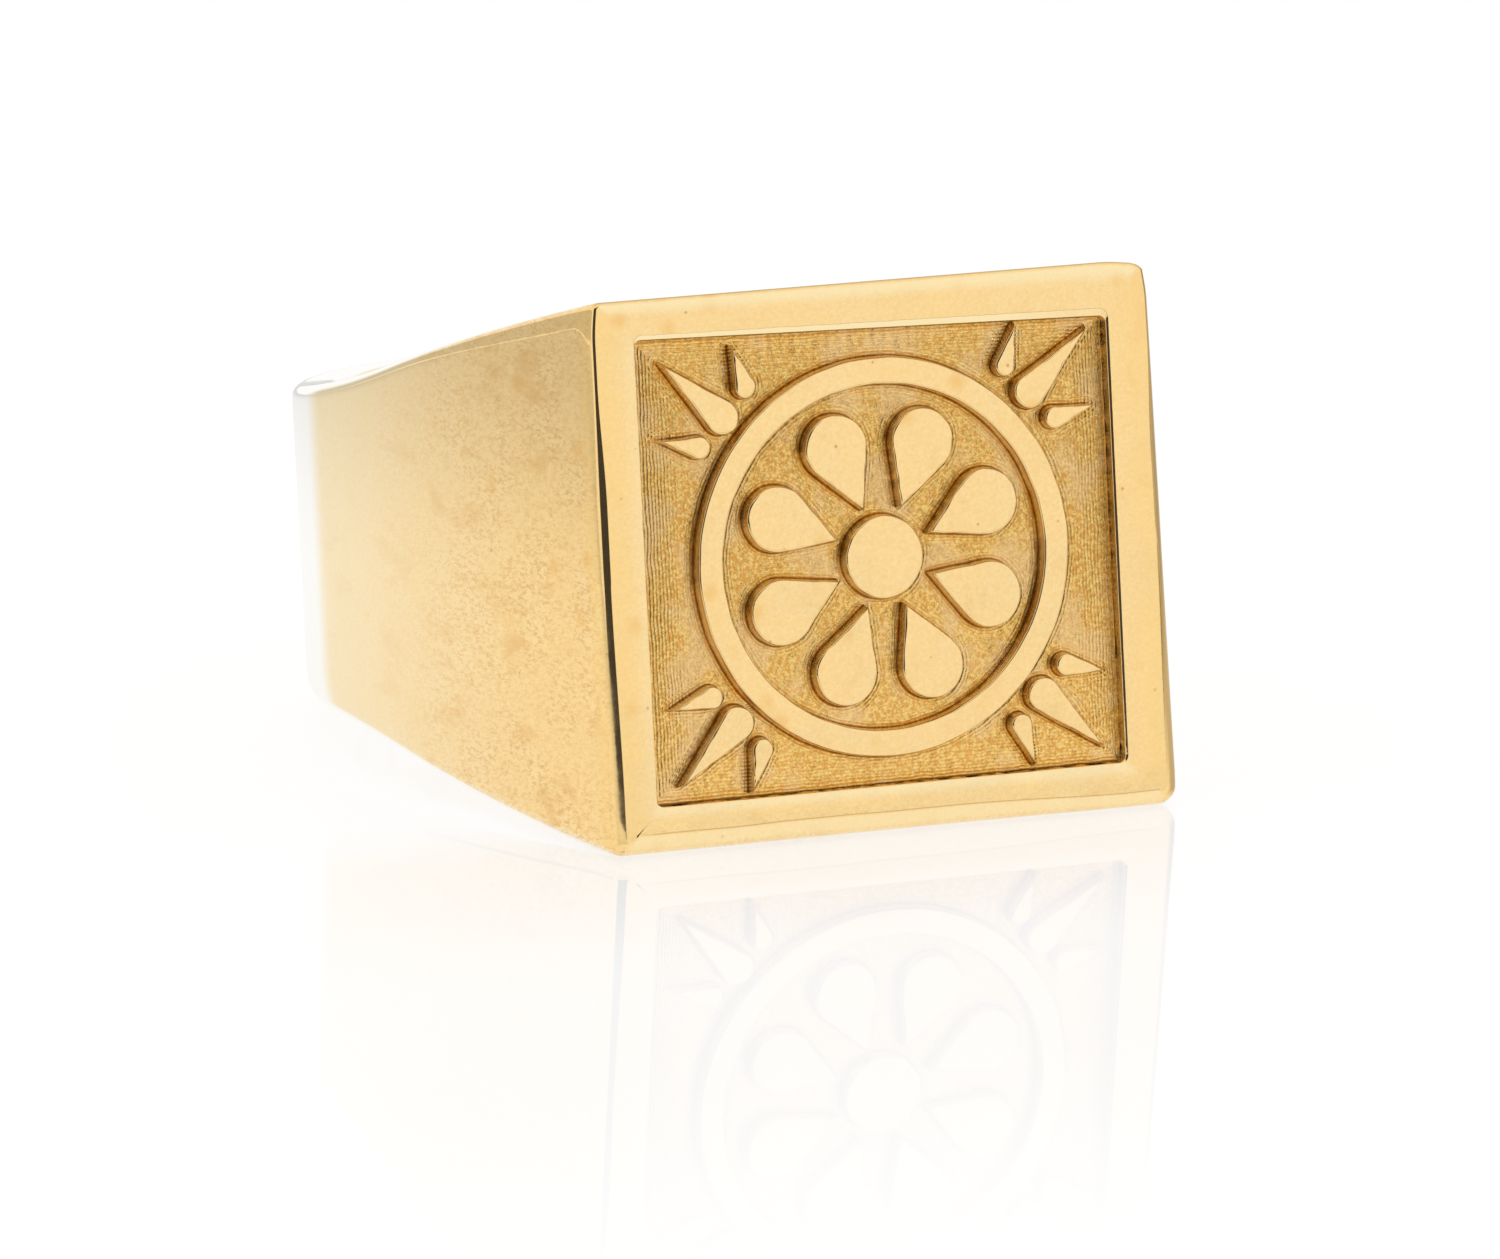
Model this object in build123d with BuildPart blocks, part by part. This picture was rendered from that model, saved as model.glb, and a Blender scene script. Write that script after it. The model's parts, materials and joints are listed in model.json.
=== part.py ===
"""Signet ring: a heavy tapering band whose boxed head carries a framed, sunk table with a rosette.

The origin is the centre of the finger bore. Z runs along the finger, the signet table faces -Y,
and X runs across the head. All sizes are in millimetres.
"""

import os
from math import acos, asin, atan2, cos, degrees, hypot, sin, sqrt

from build123d import *

os.makedirs("parts", exist_ok=True)

# ---- band and head ------------------------------------------------------------------------
bore_radius = 9.5
band_thickness = 1.4
band_width = 8.7
table_width = 16.6
table_height = 15.5
table_reach = 15.1
shoulder_radius = 55.0
taper_end = 0.0
taper_bow = 0.12
taper_blend_radius = 20.0
rolled_edge_radius = 0.6
band_edge_radius = 0.3

# ---- walls of the boxed head --------------------------------------------------------------
border_width = 1.37
border_depth = 0.6
border_bevel = 0.1
opening_corner_radius = 0.2
plate_thickness = 0.8
gallery_thickness = 1.2
liner_thickness = 0.8

# ---- raised rosette -----------------------------------------------------------------------
relief_height = 0.57
relief_bevel = 0.06
boss_radius = 1.15
petal_count = 8
petal_tip_reach = 1.45
petal_end_reach = 3.35
petal_end_radius = 0.92
circlet_inner_radius = 4.75
circlet_outer_radius = 5.5
leaf_end_reach = 6.2
leaf_length = 2.35
leaf_end_radius = 0.48
side_leaf_length = 1.2
side_leaf_end_radius = 0.31
side_leaf_splay = 30.0
side_leaf_shift = 1.05

# ---- what follows from them ---------------------------------------------------------------
outer_radius = bore_radius + band_thickness
half_table = table_width / 2
half_head = table_height / 2
half_band = band_width / 2
opening_width = table_width - 2 * border_width
opening_height = table_height - 2 * border_width
plate_front = table_reach - border_depth
box_front = plate_front - plate_thickness
well_past = 2 * outer_radius

# The plan arc of a shoulder starts at the table's corner and meets the band's outer circle at a
# tangent, so the centres of arc and circle lie on one line through the point where they meet.
corner_reach = hypot(half_table, table_reach)
centre_gap = shoulder_radius - outer_radius
corner_along_line = (shoulder_radius**2 - corner_reach**2 - centre_gap**2) / (2 * centre_gap)
tangent_angle = atan2(-table_reach, half_table) + acos(corner_along_line / corner_reach)
tangent_x = outer_radius * cos(tangent_angle)
tangent_y = outer_radius * sin(tangent_angle)

table_plane = Plane(origin=(0, -plate_front, 0), x_dir=(1, 0, 0), z_dir=(0, -1, 0))


def draw_plan_outline():
    """The whole ring seen along the finger: table, two shoulder arcs and the round back."""
    Line((-half_table, -table_reach), (half_table, -table_reach))
    RadiusArc((half_table, -table_reach), (tangent_x, tangent_y), -shoulder_radius)
    ThreePointArc((tangent_x, tangent_y), (0, outer_radius), (-tangent_x, tangent_y))
    RadiusArc((-tangent_x, tangent_y), (-half_table, -table_reach), -shoulder_radius)


def draw_side_outline(inset):
    """The ring seen across the finger: full height at the table, a slightly bowed taper along
    the shoulder, then the band's own width. The inset moves both long edges inwards."""
    middle_y = (taper_end - table_reach) / 2
    middle_z = (half_head + half_band) / 2 + taper_bow - inset
    for side in (1, -1):
        at_table = (-table_reach, side * (half_head - inset))
        at_band = (taper_end, side * (half_band - inset))
        ThreePointArc(at_table, (middle_y, side * middle_z), at_band)
        Line(at_band, (well_past, side * (half_band - inset)))
    Line((-table_reach, half_head - inset), (-table_reach, inset - half_head))
    Line((well_past, half_band - inset), (well_past, inset - half_band))


def draw_teardrop(tip, end, radius):
    """A leaf along local X: a point at the tip, straight flanks, and a round end of that radius."""
    toward_tip = 1 if tip > end else -1
    distance = abs(tip - end)
    half_angle = asin(radius / distance)
    flank = sqrt(distance**2 - radius**2)
    touch_x = tip - toward_tip * flank * cos(half_angle)
    touch_y = flank * sin(half_angle)
    Line((tip, 0), (touch_x, touch_y))
    ThreePointArc((touch_x, touch_y), (end - toward_tip * radius, 0), (touch_x, -touch_y))
    Line((touch_x, -touch_y), (tip, 0))


# The outer form of the whole ring. Every piece that shows outside is cut from it, so the pieces
# lie flush with each other at their soldered seams.
with BuildPart() as envelope:
    with BuildSketch(Plane.XY.offset(-half_head)):
        with BuildLine():
            draw_plan_outline()
        make_face()
    extrude(amount=table_height)
    with BuildSketch(Plane.YZ.offset(-well_past)) as side_profile:
        with BuildLine():
            draw_side_outline(0)
        make_face()
        bends = side_profile.vertices().group_by(Axis.X)[1]
        fillet(bends, taper_blend_radius)
        tips = side_profile.vertices().group_by(Axis.X)[0]
        fillet(tips, rolled_edge_radius)
    extrude(amount=2 * well_past, mode=Mode.INTERSECT)
    long_edges = envelope.edges().filter_by(GeomType.LINE, reverse=True)
    fillet(long_edges, band_edge_radius)

# The space between the two gallery walls, following the taper.
with BuildPart() as between_galleries:
    with BuildSketch(Plane.YZ.offset(-well_past)):
        with BuildLine():
            draw_side_outline(gallery_thickness)
        make_face()
    extrude(amount=2 * well_past)

# ---- shank: round back and both shoulders, forged in one with a slot for the head ------------
with BuildPart() as shank:
    add(envelope.part)
    with BuildSketch(Plane.XY.offset(-table_height)):
        Circle(bore_radius)
    extrude(amount=2 * table_height, mode=Mode.SUBTRACT)
    with BuildSketch(Plane.XY.offset(-table_height)):
        with Locations((0, -well_past / 2)):
            Rectangle(opening_width, well_past)
    extrude(amount=2 * table_height, mode=Mode.SUBTRACT)
    with BuildSketch(Plane.XZ.offset(box_front)):
        Rectangle(2 * well_past, 2 * well_past)
    extrude(amount=well_past, mode=Mode.SUBTRACT)

# ---- gallery walls: they close the head above and below the finger ---------------------------
with BuildPart() as both_galleries:
    add(envelope.part)
    with BuildSketch(Plane.XY.offset(-table_height)):
        with Locations((0, -box_front / 2)):
            Rectangle(opening_width, box_front)
        Circle(bore_radius, mode=Mode.SUBTRACT)
    extrude(amount=2 * table_height, mode=Mode.INTERSECT)
    add(between_galleries.part, mode=Mode.SUBTRACT)

with BuildPart() as upper_gallery:
    add(both_galleries.part)
    split(bisect_by=Plane.XY, keep=Keep.TOP)

with BuildPart() as lower_gallery:
    add(both_galleries.part)
    split(bisect_by=Plane.XY, keep=Keep.BOTTOM)

# ---- finger liner: the curved floor under the head, part of the bore -------------------------
with BuildPart() as finger_liner:
    with BuildSketch(Plane.XY.offset(-table_height)):
        Circle(bore_radius + liner_thickness)
        Circle(bore_radius, mode=Mode.SUBTRACT)
        with Locations((0, -well_past / 2)):
            Rectangle(opening_width, well_past, mode=Mode.INTERSECT)
    extrude(amount=2 * table_height)
    add(between_galleries.part, mode=Mode.INTERSECT)

# ---- table plate: the sunk ground of the signet and the lid of the box -----------------------
with BuildPart() as table_plate:
    add(envelope.part)
    with BuildSketch(Plane.XZ.offset(box_front)):
        Rectangle(2 * well_past, 2 * well_past)
    extrude(amount=plate_thickness, mode=Mode.INTERSECT)

# ---- table border: the polished frame round the ground ---------------------------------------
with BuildPart() as table_border:
    add(envelope.part)
    with BuildSketch(Plane.XZ.offset(plate_front)):
        Rectangle(2 * well_past, 2 * well_past)
        RectangleRounded(opening_width, opening_height, opening_corner_radius, mode=Mode.SUBTRACT)
    extrude(amount=2 * border_depth, mode=Mode.INTERSECT)
    front = table_border.faces().sort_by(Axis.Y)[0]
    chamfer(front.inner_wires()[0].edges(), border_bevel)

# ---- rosette: boss, petals, circlet and corner leaves, standing on the ground ----------------
with BuildPart() as emblem_boss:
    with BuildSketch(table_plane):
        Circle(boss_radius)
    extrude(amount=relief_height)
    chamfer(emblem_boss.faces().sort_by(Axis.Y)[0].edges(), relief_bevel)

with BuildSketch() as petal:
    with BuildLine():
        draw_teardrop(petal_tip_reach, petal_end_reach, petal_end_radius)
    make_face()

with BuildPart() as emblem_petals:
    with BuildSketch(table_plane):
        with PolarLocations(0, petal_count, start_angle=180 / petal_count):
            add(petal.sketch)
    extrude(amount=relief_height)
    chamfer(emblem_petals.faces().group_by(Axis.Y)[0].edges(), relief_bevel)

with BuildPart() as emblem_circlet:
    with BuildSketch(table_plane):
        Circle(circlet_outer_radius)
        Circle(circlet_inner_radius, mode=Mode.SUBTRACT)
    extrude(amount=relief_height)
    chamfer(emblem_circlet.faces().sort_by(Axis.Y)[0].edges(), relief_bevel)

with BuildSketch() as corner_leaf:
    with BuildLine():
        draw_teardrop(leaf_length, 0, leaf_end_radius)
    make_face()

with BuildSketch() as side_leaf:
    with BuildLine():
        draw_teardrop(side_leaf_length, 0, side_leaf_end_radius)
    make_face()

with BuildSketch() as leaf_spray:
    with Locations((leaf_end_reach, 0)):
        add(corner_leaf.sketch)
    for side in (1, -1):
        with Locations(Location((leaf_end_reach, side * side_leaf_shift, 0), side * side_leaf_splay)):
            add(side_leaf.sketch)

with BuildPart() as emblem_leaves:
    diagonal = degrees(atan2(opening_height, opening_width))
    with BuildSketch(table_plane):
        for turn in (diagonal, 180 - diagonal, 180 + diagonal, -diagonal):
            with Locations(Location((0, 0, 0), turn)):
                add(leaf_spray.sketch)
    extrude(amount=relief_height)
    chamfer(emblem_leaves.faces().group_by(Axis.Y)[0].edges(), relief_bevel)

pieces = {
    "shank": shank,
    "upper_gallery": upper_gallery,
    "lower_gallery": lower_gallery,
    "finger_liner": finger_liner,
    "table_plate": table_plate,
    "table_border": table_border,
    "emblem_boss": emblem_boss,
    "emblem_petals": emblem_petals,
    "emblem_circlet": emblem_circlet,
    "emblem_leaves": emblem_leaves,
}
for label, piece in pieces.items():
    piece.part.label = label
    export_step(piece.part, f"parts/{label}.step")
    print(f"{label}: {piece.part.volume:.1f} mm3 in {len(piece.part.solids())} solid(s)")
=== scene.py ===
# %% [markdown]
# # A gold signet ring, from packed CAD to a lit picture
# The ring is a heavy tapering band whose boxed head carries a sunk, matt ground inside a polished
# border, with a raised rosette on the ground. The packed CAD model fixes where every piece is. This
# lesson re-makes the visible skins with numpy, because a polished metal shows every facet: its
# reflections need finer, smoother surfaces than a solid needs to be machined.

# %% Load the packed model and note its box
import json
import math

import bpy
import numpy as np
from mathutils import Matrix, Vector


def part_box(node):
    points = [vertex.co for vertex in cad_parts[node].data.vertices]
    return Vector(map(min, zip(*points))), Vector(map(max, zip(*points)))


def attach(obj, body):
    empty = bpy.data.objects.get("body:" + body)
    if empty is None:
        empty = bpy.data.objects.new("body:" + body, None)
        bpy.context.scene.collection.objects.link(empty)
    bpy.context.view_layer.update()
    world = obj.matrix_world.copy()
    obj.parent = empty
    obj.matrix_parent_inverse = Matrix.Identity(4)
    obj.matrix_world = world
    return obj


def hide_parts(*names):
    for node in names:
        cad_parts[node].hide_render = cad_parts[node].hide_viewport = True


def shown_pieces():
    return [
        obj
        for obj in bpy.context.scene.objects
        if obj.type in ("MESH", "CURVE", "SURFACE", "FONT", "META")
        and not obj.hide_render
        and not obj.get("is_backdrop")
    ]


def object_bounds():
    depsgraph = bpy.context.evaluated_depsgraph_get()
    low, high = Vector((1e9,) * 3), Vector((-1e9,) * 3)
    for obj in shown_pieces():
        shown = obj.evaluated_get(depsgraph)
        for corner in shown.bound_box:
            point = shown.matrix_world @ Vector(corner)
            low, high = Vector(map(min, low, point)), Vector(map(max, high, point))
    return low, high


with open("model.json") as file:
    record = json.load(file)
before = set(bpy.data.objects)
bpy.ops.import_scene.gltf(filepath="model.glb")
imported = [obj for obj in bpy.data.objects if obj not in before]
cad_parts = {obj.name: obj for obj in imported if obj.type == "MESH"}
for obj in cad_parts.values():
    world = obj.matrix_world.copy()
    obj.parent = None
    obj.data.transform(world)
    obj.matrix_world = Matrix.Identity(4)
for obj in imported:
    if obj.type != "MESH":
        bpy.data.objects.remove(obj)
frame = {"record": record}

cad_low, cad_high = (list(corner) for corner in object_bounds())
MM = 0.001
print("CAD box in mm:", [round(v / MM, 2) for v in cad_low], [round(v / MM, 2) for v in cad_high])

# %% [markdown]
# ## Reading the governing sizes
# A goldsmith works from a few sizes: the finger bore, the table and its depth, the wall at the back
# of the band. The bore comes from the record's mount, and the rest from the boxes of the CAD pieces,
# so the dressed model cannot drift away from the solids.

# %% Sizes in millimetres
def box_mm(node):
    """Lowest and highest corner of a CAD piece, in millimetres."""
    low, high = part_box(node)
    return np.array(low) / MM, np.array(high) / MM


mounts = {m["name"]: m for m in frame["record"]["mounts"]}
bore_radius = mounts["finger_bore"]["dims"]["r_mm"]
border_low, border_high = box_mm("table_border")
table_reach, border_back = -border_low[1], -border_high[1]
plate_back = -box_mm("table_plate")[1][1]
outer_radius = box_mm("shank")[1][1]
slot_half = box_mm("upper_gallery")[1][0]
half_head = cad_high[2] / MM
governing = {"reach": table_reach, "border back": border_back, "plate back": plate_back}
governing.update({"outer radius": outer_radius, "slot half": slot_half, "half head": half_head})
print({label: round(float(size), 3) for label, size in governing.items()})

# Half sizes of the table, of the head with sharp edges, and of the band.
half_table, sharp_half_head, half_band = 8.3, 7.64, 4.35
# The shoulder's arc, the depth where the side's taper ends, its bow and its blend into the band.
shoulder_radius = 55.0
taper_end, taper_bow, taper_blend = 0.0, 0.12, 46.0
lower_fullness = 0.09
# The border's opening, how much lower its upper edge was cut, and how far the ground rises in it.
opening_half_x, opening_half_z = 6.975, 6.415
opening_centre = np.array([-0.075, 0.13])
top_drop, top_slope = 0.235, 0.027
ground_rise = 0.24
# Wear at the right end: its lean, how much rounder its corner is, and how far that corner droops.
right_lean, right_corner, right_droop = 0.0175, 0.2, 0.10
gallery_thickness, liner_thickness = 1.2, 0.8
quarter_turn = math.pi / 2

# %% [markdown]
# ## The plan outline
# Seen along the finger, each shoulder is one long, slightly swelling arc that starts at the table's
# corner and runs into the round back without a kink. The arc could be a Bezier curve, but a circle of
# 55 mm that touches the back circle is what a maker files to, and it has an exact formula.

# %% Shoulder arc and back circle
corner_reach = math.hypot(half_table, table_reach)
centre_gap = shoulder_radius - outer_radius
along = (shoulder_radius**2 - corner_reach**2 - centre_gap**2) / (2 * centre_gap)
tangent_angle = math.atan2(-table_reach, half_table) + math.acos(along / corner_reach)
arc_centre = -centre_gap * np.array([math.cos(tangent_angle), math.sin(tangent_angle)])
tangent_y = outer_radius * math.sin(tangent_angle)


def half_width(y):
    """Half the ring's width at depth y: on the shoulder, the arc's centre plus the root of its
    radius squared less the square of the distance along y."""
    return arc_centre[0] + np.sqrt(shoulder_radius**2 - (y - arc_centre[1]) ** 2)


print("tangent at", round(math.degrees(tangent_angle), 2), "degrees, y =", round(tangent_y, 3))

# %% [markdown]
# ## The side outline
# Seen across the finger, the head's full height tapers to the band's own width along a nearly
# straight, faintly bowed line, and a long concave blend runs it out into the parallel back.

# %% Half height at any depth
middle = np.array([(taper_end - table_reach) / 2, (sharp_half_head + half_band) / 2 + taper_bow])
start, end = np.array([-table_reach, sharp_half_head]), np.array([taper_end, half_band])
chords = np.array([middle - start, end - start])
bow_centre = start + np.linalg.solve(chords, (chords**2).sum(axis=1) / 2)
bow_radius = np.linalg.norm(start - bow_centre)
blend_top = half_band + taper_blend
blend_y = bow_centre[0] + math.sqrt((bow_radius + taper_blend) ** 2 - (blend_top - bow_centre[1]) ** 2)
blend_share = bow_radius / (bow_radius + taper_blend)
blend_start = bow_centre[0] + (blend_y - bow_centre[0]) * blend_share


def fade(x, start, end):
    """Zero before start, one after end, and three t squared less two t cubed between."""
    t = np.clip((x - start) / (end - start), 0, 1)
    return t * t * (3 - 2 * t)


easing_gap, easing_corner = 0.012, 0.03


def half_height(y, upper=True):
    """Half the ring's height at depth y: a wide circle for the bowed taper, then a circle of the
    blend radius that touches it, then the band's constant half width. The lower side of the head is
    a little fuller. Under the table the taper is eased into the packed model's full height, like
    min(a, b) with a rounded corner."""
    y = np.asarray(y, float)
    bow = bow_centre[1] + np.sqrt(np.maximum(bow_radius**2 - (y - bow_centre[0]) ** 2, 0))
    blend = blend_top - np.sqrt(np.maximum(taper_blend**2 - (y - blend_y) ** 2, 0))
    taper = np.where(y < blend_start, bow, np.where(y < blend_y, blend, half_band))
    if not upper:
        taper = taper + lower_fullness * (1 - fade(y, -table_reach, taper_end))
    gap = taper - (half_head - easing_gap)
    return taper - 0.5 * (gap + np.sqrt(gap**2 + easing_corner**2))


print("half height at table, middle, back:", half_height(np.array([-table_reach, -6.5, 8.0])).round(3))

# %% [markdown]
# ## Edges that a polishing wheel leaves
# A hand-polished flank is not a perfect plane. The wheel rolls over its upper margin and leaves a
# narrow band that leans outwards by a few degrees, with a faint line where it starts, and it softens
# the very edge. The band is widest at the table and dies out along the shoulder. One function gives
# how far the skin has drawn in, and every piece uses it, so that soldered seams stay invisible.

# %% How far a flank draws in near its long edges
def soft_ramp(x, width):
    """Zero below 0, a straight line of slope 1 above it, and a smooth corner of the given width:
    width times the logarithm of one plus e to the power x over width."""
    return width * np.logaddexp(0.0, x / width)


upper_edge, lower_edge, back_edge = 0.2, 0.5, 0.3
arris_margin = 0.24


def edge_radius(y, upper):
    """Radius of the softened long edge: at the head small above and large below, even at the back."""
    head = upper_edge if upper else lower_edge
    return head + (back_edge - head) * fade(y, -12.0, 0.0)


def flank_inset(y, below_edge, upper):
    """How far the flank lies inside the plan outline. The depth inside a round-cornered panel is
    worked out from the distance to the arris and to the edge, and past its rim the skin leans in
    with a constant slope, so the inset is that slope times a soft ramp of the depth. The rounding
    of the edge itself is added to it."""
    from_arris = np.asarray(y, float) + table_reach
    if upper:
        margin, corner, slope = 0.58 - 0.26 * fade(y, -15.0, -6.0), 0.55, 0.17
        soft = 0.02 + 0.03 * fade(y, -9.0, -4.0)
    else:
        margin, corner, slope, soft = 0.55, 0.5, 0.10, 0.16
    px = corner - (from_arris - arris_margin)
    pz = corner - (below_edge - margin)
    outside = np.hypot(np.maximum(px, 0), np.maximum(pz, 0)) + np.minimum(np.maximum(px, pz), 0)
    leaning = slope * soft_ramp(outside - corner, soft)
    radius = edge_radius(y, upper)
    reach = np.clip(radius - below_edge, 0, radius)
    return leaning + radius - np.sqrt(radius**2 - reach**2)


print("inset at the upper edge, table end:", round(float(flank_inset(-14.0, 0.0, True)), 3), "mm")

# %% [markdown]
# ## From a grid of points to a mesh
# Every new piece is a grid: rows of points that close on themselves, or that end in a pole. The helper
# turns whole index arrays into quads, closes the poles with triangles, and turns the faces outwards
# when the enclosed volume comes out negative. Edges sharper than 35 degrees stay crisp.

# %% Grid and mesh helpers
def wrap_quads(rows, columns, wrap_rows=False):
    """Quads between neighbouring rows of a grid whose columns close on themselves."""
    r = np.arange(rows if wrap_rows else rows - 1)[:, None]
    c = np.arange(columns)[None, :]
    below, right = (r + 1) % rows, (c + 1) % columns
    corners = [r * columns + c, r * columns + right, below * columns + right, below * columns + c]
    return np.stack(corners, -1).reshape(-1, 4)


def pole_triangles(row, columns, pole, flipped):
    """Triangles from one row of a closed grid to a single point."""
    c = np.arange(columns)
    a, b = row * columns + c, row * columns + (c + 1) % columns
    if flipped:
        a, b = b, a
    return np.stack([a, b, np.full(columns, pole)], -1)


def volume_inside(points, faces):
    """Sum over all triangles of the box product of their corners, divided by six."""
    total = 0.0
    for block in faces:
        for k in range(1, block.shape[1] - 1):
            a, b, c = points[block[:, 0]], points[block[:, k]], points[block[:, k + 1]]
            total += np.einsum("ij,ij->i", a, np.cross(b, c)).sum() / 6
    return total


def make_piece(name, points, faces, nodes, attributes=None, crisp=35):
    """Mesh object from points in mm and blocks of faces, standing for the given CAD nodes."""
    if volume_inside(points, faces) < 0:
        faces = [block[:, ::-1] for block in faces]
    mesh = bpy.data.meshes.new(name)
    mesh.vertices.add(len(points))
    mesh.vertices.foreach_set("co", (points * MM).astype(np.float32).ravel())
    corners = np.concatenate([block.ravel() for block in faces])
    sizes = np.concatenate([np.full(len(block), block.shape[1]) for block in faces])
    mesh.loops.add(len(corners))
    mesh.loops.foreach_set("vertex_index", corners.astype(np.int32))
    mesh.polygons.add(len(sizes))
    starts = np.concatenate([[0], np.cumsum(sizes)[:-1]])
    mesh.polygons.foreach_set("loop_start", starts.astype(np.int32))
    mesh.update(calc_edges=True)
    mesh.polygons.foreach_set("use_smooth", np.ones(len(sizes), bool))
    mesh.set_sharp_from_angle(angle=math.radians(crisp))
    for label, values in (attributes or {}).items():
        layer = mesh.attributes.new(label, "FLOAT", "POINT")
        layer.data.foreach_set("value", np.asarray(values, np.float32))
    piece = bpy.data.objects.new(name, mesh)
    bpy.context.scene.collection.objects.link(piece)
    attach(piece, "root")
    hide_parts(*nodes)
    print(f"{name}: {len(points)} points, {len(sizes)} faces, {volume_inside(points, faces):.1f} mm3")
    return piece


print("quads in a tube of 3 rows and 8 columns:", len(wrap_quads(3, 8)))

# %% [markdown]
# ## Noise for what the hand cuts
# A hand-cut edge wavers and a worn rim is uneven. A noise texture would only shade them, so the
# points themselves are moved. A fixed seed gives the same edge on every run.

# %% Smooth noise for hand-cut edges
lattice, far_corner = 97, 1000.0


def lumpy(x, z, size, seed):
    """Smooth value noise in two dimensions: random heights on a lattice of that size, joined with
    the three t squared less two t cubed curve. The result lies between -1 and 1."""
    table = np.random.default_rng(seed).uniform(-1, 1, (lattice, lattice))
    u, v = np.asarray(x) / size + far_corner, np.asarray(z) / size + far_corner
    i, j = np.floor(u).astype(int), np.floor(v).astype(int)
    s, t = u - i, v - j
    s, t = s * s * (3 - 2 * s), t * t * (3 - 2 * t)
    i0, j0, i1, j1 = i % lattice, j % lattice, (i + 1) % lattice, (j + 1) % lattice
    low = table[i0, j0] * (1 - s) + table[i1, j0] * s
    high = table[i0, j1] * (1 - s) + table[i1, j1] * s
    return low * (1 - t) + high * t


print("noise sample:", lumpy(np.array([0.1, 0.9]), np.array([0.3, 0.2]), 0.5, 1).round(3))

# %% [markdown]
# ## The head's section at one depth
# A cut through the head, parallel to the table, is a rectangle with soft corners. All stations round
# it are worked out at once from one quarter: up the flank, round the corner, and along the gallery to
# the middle. The same stations serve the border and the plate, so both share one grid.

# %% One quarter of the section, and the closed loop
wall_rises = np.concatenate([np.linspace(7.2, 1.5, 30), np.linspace(1.42, 0.22, 41)])
wall_share = 1 - (wall_rises - wall_rises[-1]) / (wall_rises[0] - wall_rises[-1])
turn_steps = np.linspace(0, quarter_turn, 11)[1:]
gallery_share = np.linspace(0, 1, 111)[1:]


def quarter(y, upper):
    """Stations of one quarter at depth y: flank from the middle to the edge, the edge's quarter
    circle, then the gallery's skin to the middle plane. Returns x and z, both positive."""
    height, radius = half_height(y, upper), edge_radius(y, upper)
    below = np.concatenate([height - wall_share * (height - radius), radius * (1 - np.sin(turn_steps))])
    x_flank = half_width(y) - flank_inset(y, below, upper)
    x_gallery = x_flank[-1] * (1 - gallery_share)
    z = np.concatenate([height - below, np.full(len(gallery_share), height)])
    return np.concatenate([x_flank, x_gallery]), z


def opening_quarter(half_x, half_z, radius):
    """The same stations round a plain rectangle with rounded corners: in the corner, the circle's
    centre plus its radius times the cosine and the sine."""
    z_wall = wall_share * (half_z - radius)
    x_turn = half_x - radius + radius * np.cos(turn_steps)
    z_turn = half_z - radius + radius * np.sin(turn_steps)
    x_top = (half_x - radius) * (1 - gallery_share)
    x = np.concatenate([np.full(len(z_wall), half_x), x_turn, x_top])
    return x, np.concatenate([z_wall, z_turn, np.full(len(x_top), half_z)])


def close_loop(upper_quarter, lower_quarter):
    """Joins quarters into a loop: right flank up, gallery leftwards, left flank down, and back."""
    ux, uz = upper_quarter
    lx, lz = lower_quarter
    x = np.concatenate([ux, -ux[-2::-1], -lx[1:], lx[-2:0:-1]])
    z = np.concatenate([uz, uz[-2::-1], -lz[1:], -lz[-2:0:-1]])
    return x, z


per_quarter = len(wall_share) + len(turn_steps) + len(gallery_share)
print("stations in a quarter:", per_quarter)

# %% [markdown]
# ## The worn right end
# The right end of the head has seen more polishing than the left. It leans in towards the top, and
# its upper corner is rounder and droops a little. A Bevel modifier would round every corner alike, so
# this moves points of the finished section, and border, plate and shank wear together.

# %% Wear of the right flank
fresh_corner = 0.2


def worn_right(x, y, z):
    """Wear of the right flank alone: it leans by an amount proportional to the height, its upper
    corner droops, and the points beyond a circle in that corner are pulled in to the circle."""
    near = 1 - fade(y, -13.0, -5.0)
    z = z - right_droop * near * fade(x, half_table - 1.5, half_table) * fade(z, 6.0, sharp_half_head)
    corner = fresh_corner + right_corner * near
    across_x = x - (half_width(y) - 0.05 * near - corner)
    over_z = z - (half_height(y) - right_droop * near - corner)
    beyond = np.hypot(np.maximum(across_x, 0), np.maximum(over_z, 0))
    in_corner = (across_x > 0) & (over_z > 0) & (near > 0)
    pull = np.where(in_corner, np.minimum(1, corner / np.maximum(beyond, 1e-9)) - 1, 0)
    leaning = right_lean * near * fade(x, slot_half + 0.2, half_table - 0.3)
    return x + across_x * pull - leaning * z, z + over_z * pull


def section_loop(y):
    """The whole outer section of the head at depth y."""
    x, z = close_loop(quarter(y, True), quarter(y, False))
    return worn_right(x, y, z)


stations = len(section_loop(-border_back)[0])
print("stations round the head:", stations)

# %% [markdown]
# ## Which way is out, and how round is the rim
# The front rim is not the same all round: the flanks meet the table in a narrow arris, the upper rim
# is nearly crisp, and the lower rim is rolled over by wear. Each station carries its own outward
# direction and rim radius, and in a corner the radius changes smoothly from one side's to the next.

# %% Outward directions and rim radii per station
turn_full = np.concatenate([np.zeros(len(wall_share)), turn_steps, np.full(len(gallery_share), quarter_turn)])
ones = np.ones(per_quarter)
loop_sign = np.sign(close_loop((ones, ones), (ones, ones))[0])


def loop_values(quarter_upper, quarter_lower):
    """Carries a value known on one quarter round the loop. Joining the quarters mirrors x, so the
    sign that the mirroring gives to ones is taken out again."""
    return close_loop((quarter_upper, quarter_upper), (quarter_lower, quarter_lower))[0] * loop_sign


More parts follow.
